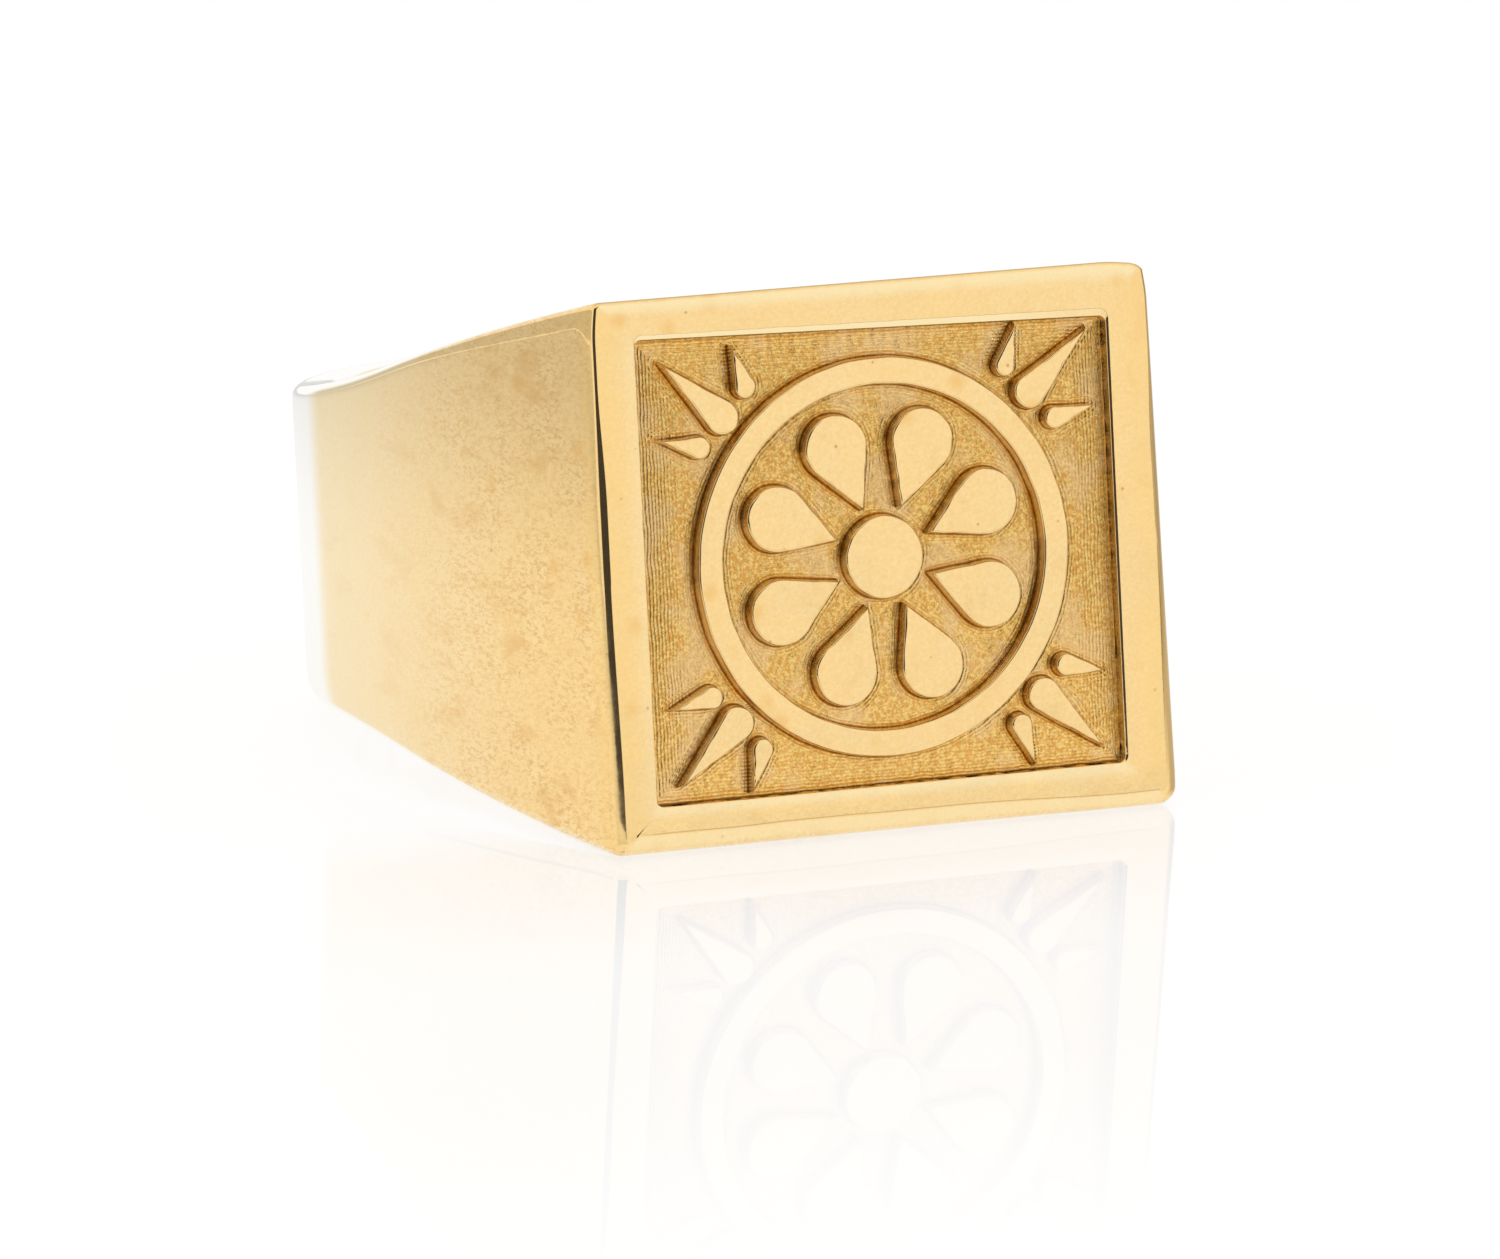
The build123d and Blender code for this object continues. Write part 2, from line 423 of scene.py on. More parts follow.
out_x, out_z = close_loop(*[(np.cos(turn_full), np.sin(turn_full))] * 2)
upper_rim, lower_rim, arris = 0.13, 0.55, 0.20
mix = fade(turn_full, 0.0, quarter_turn)
flank_z = quarter(-table_reach, True)[1]
arris_up = arris - 0.12 * fade(flank_z, 2.0, 5.4)
arris_down = arris + 0.10 * fade(flank_z, 0.0, 6.5)
rim_radius = loop_values(arris_up + (upper_rim - arris_up) * mix, arris_down + (lower_rim - arris_down) * mix)
head_x, head_z = section_loop(-table_reach)
toward_top, toward_bottom = loop_values(mix, 0 * mix), loop_values(0 * mix, mix)
on_bottom = toward_bottom * (head_z < 0)
run_x, run_z = (np.roll(v, -1) - np.roll(v, 1) for v in (head_x, head_z))
rim_out_x, rim_out_z = run_z / np.hypot(run_x, run_z), -run_x / np.hypot(run_x, run_z)
uneven = 0.02 * lumpy(head_x, 0 * head_x, 1.6, 2)
rim_radius = rim_radius + on_bottom * (0.07 - 0.15 * fade(head_x, 2.0, 7.4) + uneven)
print("rim radii from", rim_radius.min().round(3), "to", rim_radius.max().round(3), "mm")

# %% [markdown]
# ## The table border
# The border is the polished frame of the signet. It is a profile carried round the loop: up the outer
# wall, over the rim, across the flat, down a small hand-cut bevel and the inner wall, and back under.
# A Boolean cut would leave long thin faces there, and a polished flat shows those as streaks.

# %% Border: outer wall, rim and opening
def wall_points(depth_y):
    """Outer wall of the head with its own depth at every station: one section's point plus a share
    of the way to the next section's."""
    levels = np.linspace(-table_reach, -border_back, 33)
    loops = np.array([section_loop(level) for level in levels])
    place = np.clip((depth_y - levels[0]) / (levels[1] - levels[0]), 0, len(levels) - 1.001)
    row = place.astype(int)
    share, k = place - row, np.arange(stations)
    near, far = loops[row, :, k], loops[row + 1, :, k]
    found = near + (far - near) * share[:, None]
    return found[:, 0], found[:, 1]


def rim_loop(angle):
    """The rim after turning by that angle from the wall towards the flat: the depth is the rim's
    radius times one less its sine, and the loop is drawn in by the radius times one less its cosine."""
    y = -table_reach + rim_radius * (1 - math.sin(angle))
    x, z = wall_points(y)
    draw_in = rim_radius * (1 - math.cos(angle))
    return np.stack([x - rim_out_x * draw_in, y, z - rim_out_z * draw_in], -1)


def opening_loop(share):
    """The opening's outline shrunk by that share about its own centre. The upper edge was cut lower,
    and not quite level: it falls by a constant plus a slope times x."""
    half_x, half_z = opening_half_x * share, opening_half_z * share
    x, z = close_loop(*[opening_quarter(half_x, half_z, 0.2 * share)] * 2)
    z = z - np.maximum(z, 0) / opening_half_z * (top_drop + top_slope * x)
    return x + opening_centre[0], z + opening_centre[1]


opening_x, opening_z = opening_loop(1.0)
on_top, on_top_rim = toward_top * (out_z > 0), toward_top * (head_z > 0)
on_sides, on_lower_side = out_x**2, toward_bottom * (out_z < 0)
rightward, leftward = np.clip(out_x, 0, 1), np.clip(-out_x, 0, 1)
on_right = rightward**2
ragged = 0.022 * lumpy(opening_x, opening_z, 0.21, 3) + 0.012 * lumpy(opening_x, opening_z, 0.09, 4)
bevel_width = 0.03 + 0.04 * on_right + on_top * (0.135 + 0.006 * opening_x)
bevel_width = bevel_width + (0.4 - 0.3 * on_right) * ragged
bevel_slope = 0.6 - 0.18 * on_right - 0.36 * on_top
print("bevel from", bevel_width.min().round(3), "to", bevel_width.max().round(3), "mm wide")

# %% Border: its rows, with painted highlights and painted shade lines
border_rows, wear, warm = [], [], []
burr_in, burr_down = 0.012, 0.02


def border_row(points, painted_tone=0.0, warmth=0.0):
    """Adds one row of the border's profile. A mark above zero paints a highlight of paler gold and below zero
    a dark line of painted shade, and warmth is a share of a warmer gold."""
    border_rows.append(points)
    wear.append(painted_tone + 0 * out_x)
    warm.append(warmth + 0 * out_x)


side_warmth = 0.35 * on_sides
for share in np.linspace(0, 1, 9)[:-1]:
    y = -border_back + share * (-table_reach + rim_radius + border_back)
    x, z = wall_points(y)
    border_row(np.stack([x, y, z], -1), 0.0, side_warmth)
# Painted light on the rim: dark lines of painted shade along the upper rim's outer part and the right arris,
# and painted highlights on the upper rim's inner part and on the lower roll.
for angle in np.linspace(0, quarter_turn, 15):
    top_line = on_top_rim * (1 - fade(angle, 0.6, 1.1))
    painted_shade_line = (top_line + rightward * (1 - fade(angle, 1.1, 1.5))).clip(0, 1)
    painted_highlight = 0.7 * on_top_rim * fade(angle, 1.1, 1.4) + 0.55 * on_bottom * fade(angle, 0.0, 0.5)
    border_row(rim_loop(angle), painted_highlight - 0.6 * painted_shade_line, side_warmth)
flat_rim = border_rows[-1]
# Painted light where the rim meets the flat: a highlight along the upper rim, and a dark line of painted
# shade along the lower crease, short of the left corner.
wear[-1] = 0.75 * on_top_rim - 0.7 * on_bottom * fade(head_x, -8.1, -6.9)
inner_x, inner_z = opening_x + out_x * bevel_width, opening_z + out_z * bevel_width
inner_edge = np.stack([inner_x, np.full(stations, -table_reach), inner_z], -1)
# Painted highlights on the flat: a band next to the upper rim, and a band towards the opening on the lower
# side and on the left.
for share in (0.025, 0.12, 0.24, 0.36, 0.5, 0.65, 0.8, 0.9, 0.99, 1.0):
    from_rim = 0.75 * on_top_rim * (1 - fade(share, 0.05, 0.5))
    from_opening = (0.7 * on_lower_side + 0.35 * leftward**2) * fade(share, 0.35, 0.95)
    points = flat_rim + (inner_edge - flat_rim) * share
    border_row(points, from_rim + from_opening, side_warmth * (1 - fade(share, 0.1, 0.95)))
# Down the bevel, and then round its lower edge into the wall.
# Painted highlight on the upper bevel, weaker towards the right.
painted_bevel_highlight = 0.9 * on_top * (1 - 0.6 * fade(opening_x, 3.0, 6.5))
for share, bend in ((0.05, 0), (0.4, 0), (0.8, 0), (1.0, 0.3), (1.0, 0.65), (1.0, 1.0)):
    angle = bend * quarter_turn
    draw_in = bevel_width * share + burr_in * math.sin(angle) - burr_in * (share == 1.0)
    depth = bevel_slope * bevel_width * share + burr_down * (1 - math.cos(angle))
    border_row(inner_edge + np.stack([-out_x * draw_in, depth, -out_z * draw_in], -1), painted_bevel_highlight)
wall_top, wall_first = border_rows[-1], len(border_rows) - 1
for share in np.linspace(0, 1, 7)[1:]:
    wobble = ragged * math.sin(math.pi * share)
    y = wall_top[:, 1] + share * (-border_back - wall_top[:, 1])
    border_row(np.stack([opening_x - out_x * wobble, y, opening_z - out_z * wobble], -1))
border_rows = np.array(border_rows)
border_points = border_rows.reshape(-1, 3)
marks = {"wear": np.ravel(wear), "warm": np.ravel(warm), "from_outline": np.full(len(border_points), 5.0)}
faces = [wrap_quads(len(border_rows), stations, True)]
table_border = make_piece("border_skin", border_points, faces, ["table_border"], marks)

# %% [markdown]
# ## The raised rosette, as distances
# The ground round the rosette is cut with a graver that follows every outline, so the ground needs to
# know how far each of its points is from the nearest outline. Distances to a disc, a ring and a
# teardrop have exact formulas, and symmetry folds all the repeats onto one.

# %% Distances to the rosette's outlines
circlet_width = 0.75
boss_low, boss_high = box_mm("emblem_boss")
circlet_low, circlet_high = box_mm("emblem_circlet")
boss_radius = (boss_high - boss_low)[0] / 2
circlet_outer = (circlet_high - circlet_low)[0] / 2
circlet_inner = circlet_outer - circlet_width
relief_top = -circlet_low[1]
petal_tip, petal_end, petal_radius = 1.45, 3.35, 0.92
leaf_end_reach, leaf_length, leaf_radius = 6.2, 2.35, 0.48
side_length, side_radius, side_splay, side_shift = 1.2, 0.31, math.radians(30), 1.05
diagonal = math.atan2(opening_half_z, opening_half_x)


def teardrop_distance(u, v, tip, end, radius):
    """Distance to a teardrop along u: beyond the touching line it is the distance to the round end's
    centre less its radius, and elsewhere the distance to the straight flank or the tip."""
    along = (u - tip) * np.sign(end - tip)
    span = abs(end - tip)
    sine = radius / span
    cosine = math.sqrt(1 - sine * sine)
    side = np.abs(v)
    flank = along * cosine + side * sine
    to_line = side * cosine - along * sine
    to_end = np.hypot(along - span, side) - radius
    to_tip = np.hypot(along, side)
    return np.where(flank < 0, to_tip, np.where(flank > span * cosine, to_end, to_line))


def relief_distance(x, z):
    """Distance from a point of the ground to the nearest part of the rosette."""
    reach, turn = np.hypot(x, z), np.arctan2(z, x)
    sector = np.mod(turn, math.pi / 4) - math.pi / 8
    u, v = reach * np.cos(sector), reach * np.sin(sector)
    petals = teardrop_distance(u, v, petal_tip, petal_end, petal_radius)
    u = np.abs(x) * math.cos(diagonal) + np.abs(z) * math.sin(diagonal)
    v = -np.abs(x) * math.sin(diagonal) + np.abs(z) * math.cos(diagonal)
    leaves = teardrop_distance(u, v, leaf_end_reach + leaf_length, leaf_end_reach, leaf_radius)
    cosine, sine = math.cos(side_splay), math.sin(side_splay)
    du, dv = u - leaf_end_reach, np.abs(v) - side_shift
    du, dv = du * cosine + dv * sine, -du * sine + dv * cosine
    sides = teardrop_distance(du, dv, side_length, 0.0, side_radius)
    circlet = np.abs(reach - (circlet_outer + circlet_inner) / 2) - (circlet_outer - circlet_inner) / 2
    return np.minimum.reduce([petals, leaves, sides, circlet, reach - boss_radius])


samples = relief_distance(np.array([0.0, 2.8, 5.1]), np.array([0.0, 1.1, 0.0]))
print("distance at the boss, a petal and the circlet:", samples.round(2))

# %% [markdown]
# ## The plate and its sunk ground
# The ground is cut by hand: a deeper line hugs every outline, short strokes end in scallops under the
# upper border, and the rest is a fine, uneven stipple. Shapes down to about a tenth of a millimetre
# are real geometry here. The stored distance lets the finish add the finer graver lines later.

# %% How deep the ground lies
groove_depth, groove_width = 0.035, 0.07
stroke_depth, stroke_spacing, stroke_length = 0.007, 0.34, 0.55
wave_depth, stipple_depth = 0.012, 0.007


def ground_depth(x, z):
    """How far the ground lies below its nominal plane: a groove that falls off as e to the minus
    square of the distance to the outlines, cosine scallops that fade below the upper border, a slow
    waviness and a fine stipple. The distances to an outline and to the wall come with it."""
    u, v = x - opening_centre[0], z - opening_centre[1]
    to_left, to_right, to_bottom = opening_half_x + u, opening_half_x - u, opening_half_z + v
    to_top = opening_half_z - top_drop - top_slope * u - v
    to_wall = np.minimum.reduce([to_left, to_right, to_bottom, to_top])
    walls = [to_left, to_right + groove_width, to_bottom, to_top]
    to_outline = np.minimum.reduce([relief_distance(x, z), *walls])
    groove = groove_depth * np.exp(-((to_outline / groove_width) ** 2))
    wandering = x + 0.05 * lumpy(x, z, 0.5, 8)
    strokes = stroke_depth * (1 + np.cos(2 * math.pi * wandering / stroke_spacing))
    strokes = strokes * np.exp(-((to_top / stroke_length) ** 2))
    wavy = wave_depth * (1 + lumpy(x, z, 0.9, 5))
    stipple = stipple_depth * (1 + lumpy(x, z, 0.17, 6))
    return groove + strokes + wavy + stipple, to_outline, to_wall


sample = ground_depth(np.array([5.9]), np.array([0.0]))
print("depth, way to an outline and way to the wall, right of the circlet:", np.round(sample, 3).ravel())

# %% Plate: its rows, from the back's middle round the edge to the ground's middle
rows = []
for y in np.linspace(-plate_back, -border_back, 7):
    x, z = section_loop(y)
    rows.append(np.stack([x, np.full(stations, y), z], -1))
back = rows[0]
for share in (0.15, 0.4, 0.75):
    rows.insert(0, back + (np.array([0, back[0, 1], 0]) - back) * share)
rows.append(np.stack([opening_x, np.full(stations, -border_back), opening_z], -1))
first_ground_row = len(rows) - 1
ground_y = -border_back - ground_rise
for share in np.linspace(1, 0, 119)[:-1]:
    x, z = opening_loop(share)
    rows.append(np.stack([x, ground_y + ground_depth(x, z)[0], z], -1))
count = len(rows)
poles = [[opening_centre[0], ground_y + 0.02, opening_centre[1]], [0, -plate_back, 0]]
plate_points = np.concatenate([np.reshape(rows, (-1, 3)), poles])
plate_faces = [
    wrap_quads(count, stations),
    pole_triangles(count - 1, stations, count * stations, False),
    pole_triangles(0, stations, count * stations + 1, True),
]
_, outline_distance, wall_distance = ground_depth(plate_points[:, 0], plate_points[:, 2])
marks = {"from_outline": outline_distance, "from_wall": wall_distance}
table_plate = make_piece("ground_plate", plate_points, plate_faces, ["table_plate"], marks)
plate_band = np.concatenate([np.repeat(np.arange(count - 1), stations), np.repeat([count, 0], stations)])

# %% [markdown]
# ## The shank
# Round back and both shoulders are one forging. Its skin is a closed profile carried along the plan
# outline: up the outside, over the soft edge, across, down the bore and back. Near the head the
# profile stands square to the finger, where it meets the plate, and it swings to radial at the back.

# %% Path of the profile along the plan outline
slot_meets_bore = -math.sqrt(bore_radius**2 - slot_half**2)
along_slot = np.linspace(-plate_back, slot_meets_bore, 61)
flank_y = np.concatenate([along_slot, np.linspace(slot_meets_bore, tangent_y, 51)[1:]])
back_angle = np.linspace(tangent_angle, quarter_turn, 121)[1:]
right_outer = np.concatenate([
    np.stack([half_width(flank_y), flank_y], -1),
    outer_radius * np.stack([np.cos(back_angle), np.sin(back_angle)], -1),
])
past_slot = fade(right_outer[:, 1], slot_meets_bore, tangent_y)
outer_angle = np.arctan2(right_outer[:, 1], right_outer[:, 0])
lead = math.atan2(slot_meets_bore, slot_half) - math.atan2(slot_meets_bore, half_width(slot_meets_bore))
inner_angle = outer_angle + lead * (1 - past_slot)
right_inner = bore_radius * np.stack([np.cos(inner_angle), np.sin(inner_angle)], -1)
in_slot = right_outer[:, 1] <= slot_meets_bore
right_inner[in_slot] = np.stack([np.full(in_slot.sum(), slot_half), right_outer[in_slot, 1]], -1)
outer_path = np.concatenate([right_outer, right_outer[-2::-1] * [-1, 1]])
inner_path = np.concatenate([right_inner, right_inner[-2::-1] * [-1, 1]])
bore_edge = 0.01 + 0.24 * fade(outer_path[:, 1], slot_meets_bore, slot_meets_bore + 3.0)
print("path stations:", len(outer_path))

# %% Profile across the band at every station of the path
def across(upper):
    """Half a profile, from the middle of the outside over the edge to the middle of the bore. Each
    point lies a distance q inwards from the outline and a distance under below the skin there."""
    y0 = outer_path[:, 1:2]
    radius = np.where(y0 < tangent_y, edge_radius(y0, upper), back_edge)
    height = half_height(y0, upper)
    share = np.concatenate([np.linspace(0, 0.72, 16)[:-1], np.linspace(0.72, 1, 34)])[None, :]
    turned_in = radius * (1 - np.sin(turn_steps))[None, :]
    below = np.concatenate([height - share * (height - radius), turned_in], 1)
    inset = flank_inset(np.where(y0 < 5.0, y0, 5.0), below, upper)
    run = np.linalg.norm(inner_path - outer_path, axis=1)[:, None]
    top = np.concatenate([[0.02], np.linspace(0, 1, 13)[1:-1], [0.98, 1.0]])[None, :]
    turn = np.linspace(0, quarter_turn, 6)[None, 1:]
    edge = bore_edge[:, None]
    q_top = inset[:, -1:] + (run - edge - inset[:, -1:]) * top
    q_turn = run - edge + edge * np.sin(turn)
    down = np.concatenate([[0.01, 0.04], np.linspace(0, 1, 9)[1:]])[None, :]
    q = np.concatenate([inset, q_top, q_turn, run + 0 * down], 1)
    inward = (inner_path - outer_path) / run
    plan = outer_path[:, None, :] + inward[:, None, :] * q[..., None]
    skin = half_height(plan[..., 1], upper)
    drop = [edge * (1 - np.cos(turn)), edge + (skin[:, -1:] - edge) * down]
    under = np.concatenate([below, 0 * q_top, *drop], 1)
    return np.concatenate([plan, (skin - under)[..., None]], -1)


upper_half, lower_half = across(True), across(False)
lower_half[..., 2] *= -1
profile = np.concatenate([upper_half, lower_half[:, -2:0:-1]], 1)
profile[..., 0], profile[..., 2] = worn_right(profile[..., 0], profile[..., 1], profile[..., 2])
count, width = profile.shape[:2]
end_middles = [profile[0].mean(axis=0), profile[-1].mean(axis=0)]
shank_points = np.concatenate([profile.reshape(-1, 3), end_middles])
shank_faces = [
    wrap_quads(count, width),
    pole_triangles(0, width, count * width, True),
    pole_triangles(count - 1, width, count * width + 1, False),
]
make_piece("shank_skin", shank_points, shank_faces, ["shank"], crisp=22)

# %% [markdown]
# ## Gallery walls and finger liner
# Two walls close the head above and below the finger, and a thin curved floor joins them inside, so
# the finger never touches the hollow. Each is a patch with two parameters, one across the head and
# one from the plate to the bore, given a thickness by a second patch below it.

# %% Slabs from an upper and a lower patch
def slab(upper, lower):
    """Closes two patches of the same size into a solid: both skins, and four rims between them."""
    rows, columns = upper.shape[:2]
    index = np.arange(rows * columns).reshape(rows, columns)
    skin = np.stack([index[:-1, :-1], index[:-1, 1:], index[1:, 1:], index[1:, :-1]], -1).reshape(-1, 4)
    rim = np.concatenate([index[0], index[1:, -1], index[-1, -2::-1], index[-2:0:-1, 0]])
    after = np.roll(rim, -1)
    offset = rows * columns
    wall = np.stack([after, rim, rim + offset, after + offset], -1)
    points = np.concatenate([upper.reshape(-1, 3), lower.reshape(-1, 3)])
    return points, [skin, skin[:, ::-1] + offset, wall]


across_x = np.linspace(-slot_half, slot_half, 121)[None, :]
toward_bore = np.concatenate([np.linspace(0, 0.9, 40), np.linspace(0.9, 1, 12)[1:]])[:, None]


def gallery(side, name, node):
    """Wall on one side: its skin follows the taper, and its inner face lies one wall thickness
    below. At the bore its edge is a quarter circle, whose drop is the radius less the root of the
    radius squared less the reach squared."""
    bore_y = -np.sqrt(bore_radius**2 - across_x**2)
    y = -plate_back + (bore_y + plate_back) * toward_bore
    from_bore = (bore_y - y) * np.abs(bore_y) / bore_radius
    ease = 0.25 * fade(slot_half - np.abs(across_x), 0.0, 2.5) + 0.01
    reach = np.clip(ease - from_bore, 0, ease)
    full = half_height(y, side > 0)
    skin = full - (ease - np.sqrt(ease**2 - reach**2))
    down_wall = np.array([0.04, 0.4, 0.9])[:, None]
    wall_z = skin[-1] + (full[-1] - gallery_thickness - skin[-1]) * down_wall
    outer_y = np.concatenate([y, np.repeat(bore_y, 3, axis=0)])
    outer_z = np.concatenate([skin, wall_z])
    inner_y = -plate_back + (bore_y + plate_back) * np.linspace(0, 1, len(outer_y))[:, None]
    inner_z = half_height(inner_y, side > 0) - gallery_thickness
    x = across_x + 0 * outer_y
    outer = np.stack([x, outer_y, side * outer_z], -1)
    inner = np.stack([x, inner_y, side * inner_z], -1)
    points, faces = slab(outer, inner)
    make_piece(name, points, faces, [node])


gallery(1, "upper_gallery_skin", "upper_gallery")
gallery(-1, "lower_gallery_skin", "lower_gallery")

# %% Finger liner between the galleries
def liner_patch(radius):
    """Part of a cylinder about the finger's axis: the angle runs across the head, and the height
    runs between the inner faces of the two galleries at that depth."""
    x = across_x * np.ones((41, 1))
    y = -np.sqrt(radius**2 - x**2)
    top, bottom = half_height(y) - gallery_thickness, gallery_thickness - half_height(y, False)
    return np.stack([x, y, bottom + (top - bottom) * np.linspace(0, 1, 41)[:, None]], -1)


points, faces = slab(liner_patch(bore_radius), liner_patch(bore_radius + liner_thickness))
make_piece("liner_skin", points, faces, ["finger_liner"])

# %% [markdown]
# ## The rosette's pieces
# Boss, petals, circlet and leaves stand on the ground with steep walls and flat, polished tops that
# finish level with the border. Each is a closed outline carried up the wall, over a tiny bevel and
# in to a pole. The outlines waver by a hundredth or two of a millimetre, as hand-cut ones do.

# %% Teardrop outlines
relief_seat = border_back
relief_height = relief_top - relief_seat
relief_bevel, bevel_depth, relief_draft = 0.05, 0.06, 0.05
hand_wear = 0.012


def teardrop_outline(tip, end, radius, samples=72):
    """The round end's centre, then points round the teardrop: half of them share the two straight
    flanks, the rest the round end."""
    toward = np.sign(end - tip)
    half_angle = math.asin(radius / abs(end - tip))
    flank = math.sqrt((end - tip) ** 2 - radius**2)
    reach = np.linspace(0, 1, samples // 4 + 1)[:-1] * flank
    side_u, side_v = tip + toward * reach * math.cos(half_angle), reach * math.sin(half_angle)
    swing = np.linspace(quarter_turn + half_angle, -quarter_turn - half_angle, samples // 2 + 1)
    round_u, round_v = end + toward * radius * np.cos(swing), radius * np.sin(swing)
    u = np.concatenate([[end], side_u, round_u, side_u[:0:-1]])
    return np.stack([u, np.concatenate([[0.0], side_v, round_v, -side_v[:0:-1]])], -1)


def rotated(shape, angle, shift=(0.0, 0.0)):
    """The shape turned and then shifted: its first coordinate becomes u times the cosine less v
    times the sine, and its second u times the sine plus v times the cosine."""
    c, s = math.cos(angle), math.sin(angle)
    return shape @ np.array([[c, s], [-s, c]]) + np.array(shift)


print("points round a petal:", len(teardrop_outline(petal_tip, petal_end, petal_radius)) - 1)

# %% From outlines to raised solids
def raised(shape, seed):
    """Rows of points for one raised piece: seat, leaning wall, bevel, and a flat top that closes in
    on the centre. Drawn in, a disc or a teardrop is the same shape scaled about its round end's
    centre, by one less the inset over the end's radius, so its walls and bevels stay true."""
    centre, outline = shape[0], shape[1:]
    radius = np.linalg.norm(outline - centre, axis=1).min()
    u, v = outline[:, 0], outline[:, 1]
    waver = 0.012 * lumpy(u, v, 0.42, seed) + 0.006 * lumpy(u, v, 0.15, seed + 1)
    width = relief_bevel * (1 + 0.5 * lumpy(u, v, 0.3, seed + 2))

    def row(inset, y):
        share = np.minimum((inset + hand_wear - waver) / radius, 0.97)
        points = outline + (centre - outline) * share[:, None]
        return np.stack([points[:, 0], np.full(len(points), -y), points[:, 1]], -1)

    rows = [row(0.5 * radius, relief_seat)]
    for share in (0.0, 0.3, 0.6, 0.88):
        rows.append(row(-relief_draft * (1 - share), relief_seat + share * relief_height))
    for turn in np.linspace(0, quarter_turn, 6)[1:]:
        rows.append(row(width * (1 - math.cos(turn)), relief_top - bevel_depth * (1 - math.sin(turn))))
    rim = width + 0.008
    rows += [row(rim + share * (radius - rim), relief_top) for share in (0.0, 0.12, 0.4, 0.8)]
    return np.array(rows), centre


far = 5.0
# By row: a distance of zero at the wall's foot paints shade there, and negative values of the second mark
# paint dark lines of shade along the bevel.
by_row = {
    "from_outline": [far, 0.0, 2.0] + [far] * 11,
    "wear": [0.0] * 4 + [-0.8, -0.9, -0.7, -0.4, -0.2] + [0.0] * 5,
}
at_pole = {"from_outline": far, "wear": 0.0}


def relief_piece(name, node, shapes):
    """One object from several raised shapes, each with a pole at the top and one in the seat. Its
    marks go by row: the distance paints shade at the wall's foot, and negative values of the other mark paint
    a dark line of shade along the edge."""
    points, faces, base = [], [], 0
    marks = {label: [] for label in by_row}
    for seed, shape in enumerate(shapes):
        rows, middle = raised(shape, 20 + 7 * seed)
        r, c = rows.shape[:2]
        poles = np.array([[middle[0], -y, middle[1]] for y in (relief_seat, relief_top)])
        block = [wrap_quads(r, c)]
        block += [pole_triangles(0, c, r * c, True), pole_triangles(r - 1, c, r * c + 1, False)]
        solid = np.concatenate([rows.reshape(-1, 3), poles])
        if volume_inside(solid, block) < 0:
            block = [b[:, ::-1] for b in block]
        points.append(solid)
        for label, values in by_row.items():
            marks[label].append(np.append(np.repeat(values, c), 2 * [at_pole[label]]))
        faces += [b + base for b in block]
        base += len(solid)
    joined = {label: np.concatenate(values) for label, values in marks.items()}
    return make_piece(name, np.concatenate(points), faces, [node], joined)


print("profile rows, each with its own marks:", [len(values) for values in by_row.values()])

# %% Boss, petals and leaves
swing = np.linspace(0, 2 * math.pi, 97)[:-1]
disc = np.concatenate([[[0.0, 0.0]], boss_radius * np.stack([np.cos(swing), np.sin(swing)], -1)])
petal = teardrop_outline(petal_tip, petal_end, petal_radius)
petals = [rotated(petal, math.pi / 8 + k * math.pi / 4) for k in range(8)]
leaf = teardrop_outline(leaf_end_reach + leaf_length, leaf_end_reach, leaf_radius)
side_leaf = teardrop_outline(side_length, 0.0, side_radius, 48)
spray = [leaf] + [rotated(side_leaf, s * side_splay, (leaf_end_reach, s * side_shift)) for s in (1, -1)]
corners = (diagonal, math.pi - diagonal, math.pi + diagonal, -diagonal)
sprays = [rotated(shape, angle) for angle in corners for shape in spray]
reliefs = [
    relief_piece("boss_skin", "emblem_boss", [disc]),
    relief_piece("petal_skins", "emblem_petals", petals),
    relief_piece("leaf_skins", "emblem_leaves", sprays),
]

# %% Circlet: a flat ring with the same bevels on both rims
ring_swing = np.linspace(0, 2 * math.pi, 361)[:-1]
cos_swing, sin_swing = np.cos(ring_swing), np.sin(ring_swing)
hand_inset = 0.014


def ring_row(radius, y, seed):
    """One circle of the circlet: its radius plus a little noise, times the cosine and the sine."""
    r = radius + 0.013 * lumpy(radius * cos_swing, radius * sin_swing, 0.45, seed)
    return np.stack([r * cos_swing, np.full(len(r), -y), r * sin_swing], -1)


half_profile = [(relief_draft * (1 - share), share * relief_height) for share in (0.0, 0.4, 0.9)]
for turn in np.linspace(0.2, 1, 5) * quarter_turn:
    drawn_in, below_top = relief_bevel * (1 - math.cos(turn)), bevel_depth * (1 - math.sin(turn))
    half_profile.append((-drawn_in, relief_height - below_top))
half_profile.append((-relief_bevel - 0.008, relief_height))
outside, inside = circlet_outer - hand_inset, circlet_inner + hand_inset
rows = [ring_row(outside + out, relief_seat + rise, 60) for out, rise in half_profile]
rows += [ring_row(inside - out, relief_seat + rise, 61) for out, rise in half_profile[::-1]]
# As on the other pieces, these paint shade at the wall's foot and dark lines of shade along both bevels.
half_foot = [0.0, 3.0] + [far] * 7
half_edge = [0.0, -0.3, -0.8, -0.9, -0.7, -0.4, -0.2, 0.0, 0.0]
marks = {"from_outline": half_foot + half_foot[::-1], "wear": half_edge + half_edge[::-1]}
marks = {label: np.repeat(values, len(ring_swing)) for label, values in marks.items()}
faces = [wrap_quads(len(rows), len(ring_swing), True)]
points = np.reshape(rows, (-1, 3))
reliefs.append(make_piece("circlet_skin", points, faces, ["emblem_circlet"], marks))

# %% [markdown]
# ## Gold, polished and matt
# Eighteen carat gold is a metal: all its colour is in its reflection. What makes it real is what wear
# adds: a faint orange peel from polishing, a fine speckle, warm brown stains, pinhead pits, and a
# thin haze that lifts the shadows. All of it is noise on the piece's own Object coordinates.

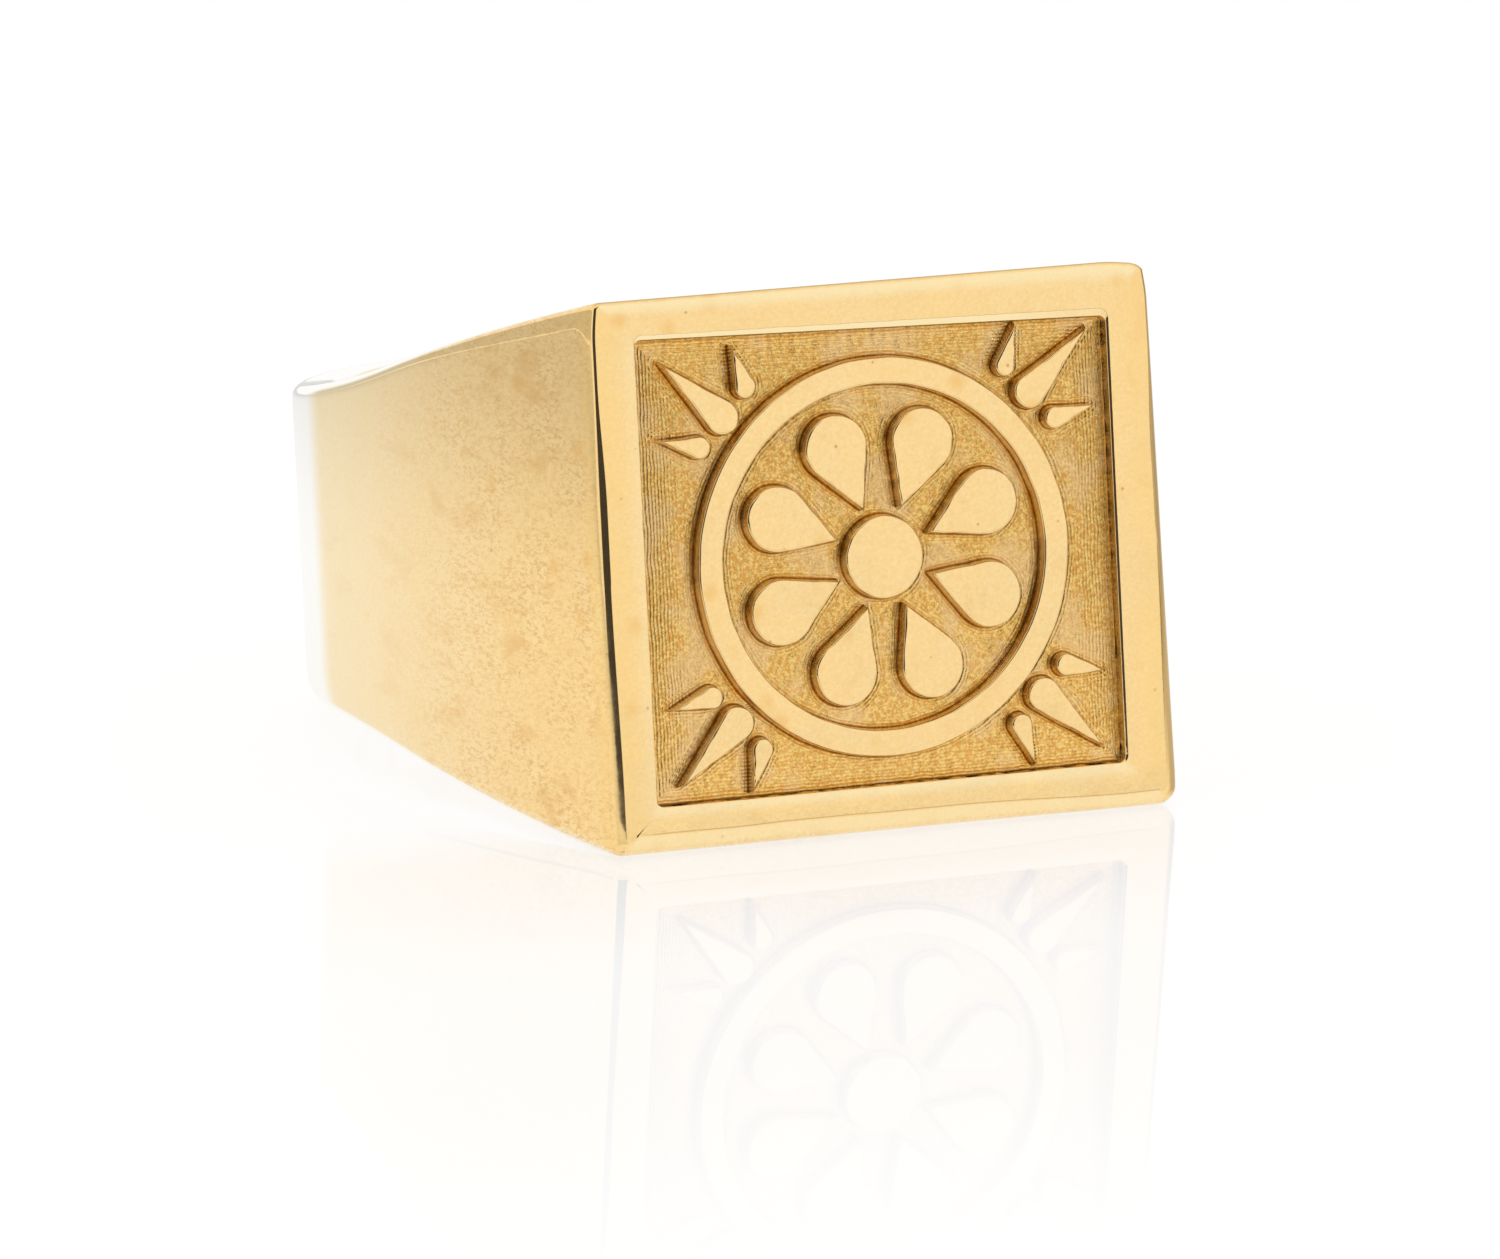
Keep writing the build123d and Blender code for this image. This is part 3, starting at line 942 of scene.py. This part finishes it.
# %% Node helpers
class Shading:
    """Makes and links the nodes of one tree. A value may be a number, a colour or another socket."""

    def __init__(self, tree):
        tree.nodes.clear()
        self.tree = tree

    def fill(self, socket, value):
        """Links a socket or sets its value. A colour's opacity is one."""
        if isinstance(value, bpy.types.NodeSocket):
            self.tree.links.new(value, socket)
        elif socket.type == "RGBA":
            socket.default_value = (*value, 1.0)
        else:
            socket.default_value = value

    def node(self, kind, inputs, **settings):
        """One node with its settings, and then its inputs, which the settings may have changed."""
        made = self.tree.nodes.new("ShaderNode" + kind)
        for key, value in settings.items():
            setattr(made, key, value)
        for key, value in inputs.items():
            self.fill(made.inputs[key], value)
        return made

    def millimetres(self):
        """Object coordinates in millimetres."""
        place = self.node("TexCoord", {}).outputs["Object"]
        return self.node("Mapping", {"Vector": place, "Scale": (1000, 1000, 1000)}).outputs["Vector"]

    def noise(self, place, scale, detail, roughness=0.5, distortion=0.0):
        """Fractal noise about one half."""
        inputs = {"Scale": scale, "Detail": detail, "Roughness": roughness, "Distortion": distortion}
        return self.node("TexNoise", {"Vector": place, **inputs}).outputs[0]

    def from_cell(self, place, scale):
        """Distance from the nearest of some scattered points."""
        return self.node("TexVoronoi", {"Vector": place, "Scale": scale}).outputs["Distance"]

    def vector(self, operation, a, b=(0.0, 0.0, 0.0)):
        """One Vector Math node."""
        return self.node("VectorMath", {0: a, 1: b}, operation=operation)

    def attribute(self, name):
        """A value stored at the mesh's points."""
        return self.node("Attribute", {}, attribute_name=name).outputs["Fac"]

    def maths(self, operation, a, b=0.0):
        """One Math node."""
        return self.node("Math", {0: a, 1: b}, operation=operation).outputs[0]

    def times(self, a, b):
        """The product of two values."""
        return self.maths("MULTIPLY", a, b)

    def spread(self, value, low, high, to_low=0.0, to_high=1.0):
        """Maps a value from low..high to to_low..to_high, clamped, with smooth ends."""
        inputs = {0: value, 1: low, 2: high, 3: to_low, 4: to_high}
        return self.node("MapRange", inputs, interpolation_type="SMOOTHSTEP").outputs[0]

    def mix(self, share, a, b):
        """Mixes two colours by a share."""
        return self.node("Mix", {0: share, 6: a, 7: b}, data_type="RGBA").outputs[2]

    def layers(self, colour, *coats):
        """Lays coats over a colour in turn, each by its own share."""
        for share, coat in coats:
            colour = self.mix(share, colour, coat)
        return colour


def new_material(name):
    """An empty material and the helper for its tree."""
    material = bpy.data.materials.new(name)
    material.use_nodes = True
    return material, Shading(material.node_tree)


print("helpers:", [name for name in vars(Shading) if not name.startswith("_")])

# %% Polished gold
def polished_gold():
    """Metal with speckle, stains, pits, orange peel and a thin haze, with painted highlights, dark lines of
    painted shade, and a painted pale reflection at grazing angles.
    """
    material, s = new_material("polished_gold_worn_with_painted_light")
    place = s.millimetres()
    along_band = s.vector("MULTIPLY", place, (1.0, 0.4, 1.0)).outputs[0]
    fine, peel, slow = s.noise(place, 9.0, 3.0, 0.6), s.noise(place, 3.2, 2.0), s.noise(place, 0.55, 4.0, 0.6)
    streak, stain = s.noise(along_band, 9.5, 3.0, 0.8), s.noise(along_band, 0.9, 5.0, 0.65, 0.4)
    spots, pits = s.from_cell(place, 0.6), s.from_cell(place, 1.1)
    wear, warm = s.attribute("wear"), s.attribute("warm")
    facing = s.node("LayerWeight", {"Blend": 0.5}).outputs["Facing"]
    depth = s.node("SeparateXYZ", {0: place}).outputs["Y"]
    on_flank = s.times(s.spread(depth, -15.08, -14.9, 0.2, 1.0), s.spread(depth, -12.0, -3.0, 1.0, 0.08))
    in_head = s.spread(depth, -13.5, -5.0, 1.0, 0.15)
    patchy = s.times(on_flank, s.spread(slow, 0.38, 0.6, 0.45, 1.0))
    stained = s.times(s.spread(stain, 0.52, 0.70, 0.0, 0.5), s.maths("ADD", on_flank, 0.2))
    even = s.mix(s.spread(fine, 0.35, 0.68), (0.965, 0.67, 0.285), (0.995, 0.72, 0.335))
    # Milky patches, a painted pale reflection where the surface turns away, speckle, stains, spots, pits, a
    # painted highlight, warm sides, a dark line of painted shade, and a painted near-white reflection at
    # glancing angles.
    colour = s.layers(
        even,
        (s.spread(slow, 0.45, 0.65, 0.0, 0.3), (1.0, 0.77, 0.40)),
        (s.spread(facing, 0.38, 0.74, 0.0, 0.85), (0.95, 0.84, 0.59)),
        (s.times(s.spread(streak, 0.44, 0.64), patchy), (0.80, 0.50, 0.19)),
        (stained, (0.80, 0.48, 0.16)),
        (s.times(s.spread(spots, 0.03, 0.24, 0.55, 0.0), in_head), (0.88, 0.50, 0.14)),
        (s.times(s.spread(pits, 0.03, 0.075, 0.6, 0.0), in_head), (0.45, 0.22, 0.07)),
        (s.spread(wear, 0.0, 1.0, 0.0, 0.8), (1.0, 0.85, 0.51)),
        (warm, (0.975, 0.655, 0.225)),
        (s.spread(wear, -1.0, 0.0, 0.9, 0.0), (0.36, 0.21, 0.075)),
        (s.spread(facing, 0.645, 0.745), (1.0, 0.985, 0.94)),
    )
    lumps = s.maths("ADD", s.times(fine, 0.35), peel)
    bump = s.node("Bump", {"Height": lumps, "Strength": 1.0, "Distance": 6e-7}).outputs[0]
    gloss = {"Metallic": 1.0, "Roughness": s.spread(slow, 0.3, 0.7, 0.03, 0.09), "Normal": bump}
    metal = s.node("BsdfPrincipled", {"Base Color": colour, **gloss}).outputs[0]
    haze = s.node("BsdfDiffuse", {"Color": (0.95, 0.80, 0.55), "Roughness": 0.0}).outputs[0]
    mixed = s.node("MixShader", {0: 0.035, 1: metal, 2: haze}).outputs[0]
    s.node("OutputMaterial", {"Surface": mixed})
    return material


polished = polished_gold()
print("nodes in polished gold:", len(polished.node_tree.nodes))

# %% [markdown]
# ## The graver's matt
# The ground is cut in fine lines that hug the outlines and thin out away from them. Grooves a tenth
# of a millimetre apart would need millions of faces, so a bump draws them from the distances that
# the mesh carries.

# %% Matt gold of the ground
line_spacing = 0.10


def matt_gold():
    """Graver-cut ground: lines that follow the outlines and fade away from them, over a stipple.
    Each set of lines is the sine of a full turn per spacing of the distance, plus a slow wander."""
    material, s = new_material("matt_gold_graver_cut")
    place = s.millimetres()
    away, wall = s.attribute("from_outline"), s.attribute("from_wall")
    wander, patch = s.noise(place, 1.3, 2.0), s.noise(place, 0.8, 3.0)
    grain = s.noise(place, 8.5, 4.0, 0.75)
    cuts = []
    for distance_away, fade_from, fade_to, strength in ((wall, 0.3, 1.6, 0.6), (away, 0.1, 0.45, 0.7)):
        steps = s.times(distance_away, 2 * math.pi / line_spacing)
        wave = s.maths("SINE", s.maths("ADD", steps, s.times(wander, 9.0)))
        cuts.append(s.times(wave, s.spread(distance_away, fade_from, fade_to, strength, 0.04)))
    cut = s.maths("ADD", *cuts)
    stipple = s.mix(s.spread(grain, 0.42, 0.60), (0.79, 0.405, 0.09), (0.99, 0.69, 0.235))
    # Painted shade in the bottoms of the lines, pale patches, a paler painted tone of light on the steep
    # walls, and painted shade at the dark foot of every outline.
    colour = s.layers(
        stipple,
        (s.spread(cut, -0.8, 0.1, 0.4, 0.0), (0.56, 0.31, 0.08)),
        (s.spread(patch, 0.45, 0.62, 0.0, 0.5), (0.92, 0.63, 0.31)),
        (s.spread(away, 3.0, 4.0), (0.82, 0.62, 0.32)),
        (s.spread(away, 0.02, 0.085, 0.9, 0.0), (0.22, 0.11, 0.03)),
    )
    height = s.maths("ADD", s.times(cut, 0.45), grain)
    bump = s.node("Bump", {"Height": height, "Strength": 1.0, "Distance": 1.1e-5}).outputs[0]
    gloss = {"Metallic": 1.0, "Roughness": 0.24, "Normal": bump}
    metal = s.node("BsdfPrincipled", {"Base Color": colour, **gloss}).outputs[0]
    s.node("OutputMaterial", {"Surface": metal})
    return material


matt = matt_gold()
print("nodes in matt gold:", len(matt.node_tree.nodes))

# %% [markdown]
# ## Where polish ends
# Only what the wheel can reach is polished. The plate is matt from the ground's first row on, the
# border on its inner wall, and the rosette on every wall, where a face's normal has little of the
# table's direction in it.

# %% Which faces are matt
wall_lean = 0.4
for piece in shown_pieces():
    piece.data.materials.clear()
    piece.data.materials.append(polished)


def make_matt(piece, is_matt):
    """Gives a piece the matt gold on the faces where the flag is one, by material index."""
    piece.data.materials.append(matt)
    piece.data.polygons.foreach_set("material_index", is_matt.astype(np.int32))


make_matt(table_plate, plate_band >= first_ground_row)
make_matt(table_border, np.repeat(np.arange(len(border_rows)) >= wall_first, stations))
for relief in reliefs:
    normals = np.empty(3 * len(relief.data.polygons))
    relief.data.polygons.foreach_get("normal", normals)
    make_matt(relief, np.abs(normals[1::3]) < wall_lean)
print("materials:", [m.name for m in bpy.data.materials])

# %% [markdown]
# ## How the ring stands
# The ring rests on the head's lower rim and on the lower edge of the back, so in its own frame the
# floor is tilted. The support line is the one line that touches both and has every point above it.

# %% Tilt of the floor from the mesh itself
lower = np.concatenate([border_points, shank_points])
head_points = lower[lower[:, 1] < -table_reach + 1.5]
back_points = lower[lower[:, 1] > 6.0]
slope = 0.13
for _ in range(20):  # Each pass finds the two touching points again for the slope found so far.
    head_low = head_points[np.argmin(head_points[:, 2] - slope * head_points[:, 1])]
    back_low = back_points[np.argmin(back_points[:, 2] - slope * back_points[:, 1])]
    slope = (back_low[2] - head_low[2]) / (back_low[1] - head_low[1])
tilt = math.atan(slope)
up = Vector((0, -math.sin(tilt), math.cos(tilt)))
contact = Vector((0, head_low[1] * MM, head_low[2] * MM))
to_floor = Matrix.Rotation(tilt, 4, "X")
print("tilt", round(math.degrees(tilt), 2), "degrees, contact at", [round(v / MM, 2) for v in contact])

# %% [markdown]
# ## Camera
# A long lens about a third of a metre away keeps the head's sides nearly parallel. The eye stands to
# the left of the table's axis and a little above it, and looks a little past the table's middle, so
# that the whole ring is in the frame.

# %% Camera
turn, rise, roll = math.radians(22.98), math.radians(13.475), math.radians(0.474)
view_tilt = math.radians(8.28)
aside, below = math.radians(0.63356267), math.radians(0.34571781)
distance, lens, sensor = 333.6, 292.344, 36.0
table_middle = np.array([0, -15.09, 0])


def blend_axes(a, b, angle):
    """Turns two axes in their own plane: a times the cosine less b times the sine, and b times the
    cosine plus a times the sine."""
    return math.cos(angle) * a - math.sin(angle) * b, math.cos(angle) * b + math.sin(angle) * a


sight = np.array([-math.sin(turn) * math.cos(rise), -math.cos(turn) * math.cos(rise), math.sin(rise)])
side = np.cross(-sight, [0, 0, 1])
side /= np.linalg.norm(side)
above = np.cross(side, -sight)
ahead, side = blend_axes(-sight, side, aside)
ahead, above = blend_axes(ahead, above, below)
side, above = blend_axes(side, above, -roll)
# The angles so far are in a frame tipped about X by the view's tilt. This turns them into the ring's.
c, s = math.cos(view_tilt), math.sin(view_tilt)
to_ring = np.array([[1, 0, 0], [0, c, -s], [0, s, c]])
eye = to_ring @ (sight * distance) + table_middle
axes = np.stack([to_ring @ side, to_ring @ above, -(to_ring @ ahead)], 1)
camera = bpy.data.objects.new("camera", bpy.data.cameras.new("camera"))
camera.data.sensor_width = sensor
camera.data.lens = lens
camera.data.clip_start, camera.data.clip_end = 0.01, 10.0
camera.matrix_world = Matrix.Translation(Vector(eye * MM)) @ Matrix(axes.tolist()).to_4x4()
bpy.context.scene.collection.objects.link(camera)
bpy.context.scene.camera = camera
print("camera at", [round(float(v), 1) for v in eye], "mm, lens", round(camera.data.lens, 1), "mm")

# %% [markdown]
# ## Floor
# The floor is a sheet of white acrylic: a lit white body with a gloss that mirrors the ring faintly
# and fades with distance from the contact.

# %% Floor sheet
def floor_material():
    """White body, part lit and part glowing, under a faint gloss that fades away from the ring. For all rays
    but the camera's, the glow is dimmed as painted shade, a little from a few millimetres off the ring and
    more from about four centimetres on.
    """
    material, s = new_material("white_acrylic")
    place = s.millimetres()
    far = s.vector("LENGTH", place).outputs["Value"]
    squeezed = s.vector("MULTIPLY", place, (0.3, 1.0, 1.0)).outputs[0]
    in_front = s.vector("LENGTH", squeezed).outputs["Value"]
    back = s.node("SeparateXYZ", {0: place}).outputs["Y"]
    mirror = s.times(s.spread(in_front, 1.0, 14.0, 0.215, 0.09), s.spread(in_front, 18.0, 48.0, 1.0, 0.0))
    mirror = s.times(mirror, s.spread(back, 0.5, 6.0, 1.0, 0.15))
    # Painted shade in the floor's glow, seen only in reflections and bounced light: a little dimmer from 4 mm
    # off the ring, and down to two thirds by 98 mm.
    painted_glow_shade = s.times(s.spread(far, 4.0, 24.0, 1.0, 0.965), s.spread(far, 38.0, 98.0, 1.0, 0.66))
    seen = s.node("LightPath", {}).outputs["Is Camera Ray"]
    level = s.maths("MAXIMUM", seen, painted_glow_shade)
    body = s.node("BsdfDiffuse", {"Color": (0.16, 0.16, 0.16)}).outputs[0]
    glow = s.node("Emission", {"Color": (1, 1, 1), "Strength": s.times(level, 0.87)}).outputs[0]
    gloss = s.node("BsdfGlossy", {"Color": (1, 1, 1), "Roughness": 0.02}).outputs[0]
    both = s.node("AddShader", {0: body, 1: glow}).outputs[0]
    s.node("OutputMaterial", {"Surface": s.node("MixShader", {0: mirror, 1: both, 2: gloss}).outputs[0]})
    return material


floor_radius, rim_count, hair = 0.13, 64, 1e-5
floor_mesh = bpy.data.meshes.new("floor")
spin = np.linspace(0, 2 * math.pi, rim_count + 1)[:-1]
rim = floor_radius * np.stack([np.cos(spin), np.sin(spin), 0 * spin], -1)
floor_mesh.from_pydata(rim.tolist(), [], [list(range(rim_count))])
floor = bpy.data.objects.new("floor", floor_mesh)
floor.matrix_world = Matrix.Translation(contact - up * hair) @ to_floor
floor_mesh.materials.append(floor_material())
bpy.context.scene.collection.objects.link(floor)
floor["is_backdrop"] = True
print("floor", 2 * floor_radius, "m across")

# %% [markdown]
# ## Light
# The ring stands in a white tent: light of strength one from everywhere. Four things in it are not
# white, and they draw the ring's form: the dark room round the camera, a dim band behind on either
# side, and the dark gap where the sheet ends below the tent.

# %% World
world = bpy.data.worlds.new("white_tent")
bpy.context.scene.world = world
world.use_nodes = True
w = Shading(world.node_tree)
look = w.node("TexCoord", {}).outputs["Generated"]
level = w.node("VectorRotate", {"Vector": look, "Angle": -tilt}, rotation_type="X_AXIS").outputs[0]
x, y, z = w.node("SeparateXYZ", {0: level}).outputs
height = w.maths("ARCSINE", z)
behind = w.maths("ARCTAN2", x, y)
heading = w.maths("ARCTAN2", w.times(x, -1.0), w.times(y, -1.0))


def window(value, low, high, soft):
    """One between low and high, in degrees, and zero outside: the product of a rise and a fall."""
    from_low, to_low, from_high, to_high = np.radians([low - soft, low + soft, high - soft, high + soft])
    return w.times(w.spread(value, from_low, to_low), w.spread(value, from_high, to_high, 1.0, 0.0))


left_back = w.times(window(behind, -95, -14, 8), window(height, -4.3, 9.0, 0.8))
right_back = w.times(window(behind, 62, 110, 8), window(height, -4, 25, 3))
gap = w.times(window(heading, -60, 0, 5), window(height, -7.0, -0.8, 0.5))
camera_side = w.times(window(heading, -10, 56, 3), window(height, -20, 38, 4))
white = (1.0, 1.0, 1.0)
tent = w.layers(
    white,
    (left_back, (0.65, 0.65, 0.64)),
    (right_back, (0.5, 0.47, 0.43)),
    (gap, (0.30, 0.28, 0.26)),
    (camera_side, (0.035, 0.028, 0.02)),
    (w.node("LightPath", {}).outputs["Is Camera Ray"], white),
)
backdrop = w.node("Background", {"Color": tent, "Strength": 1.0}).outputs[0]
w.node("OutputWorld", {"Surface": backdrop})
bpy.context.scene.view_settings.view_transform = "Standard"
print("world nodes:", len(world.node_tree.nodes))

# %% [markdown]
# ## The packed model's box
# The dressed model has to stay inside the packed model's box.
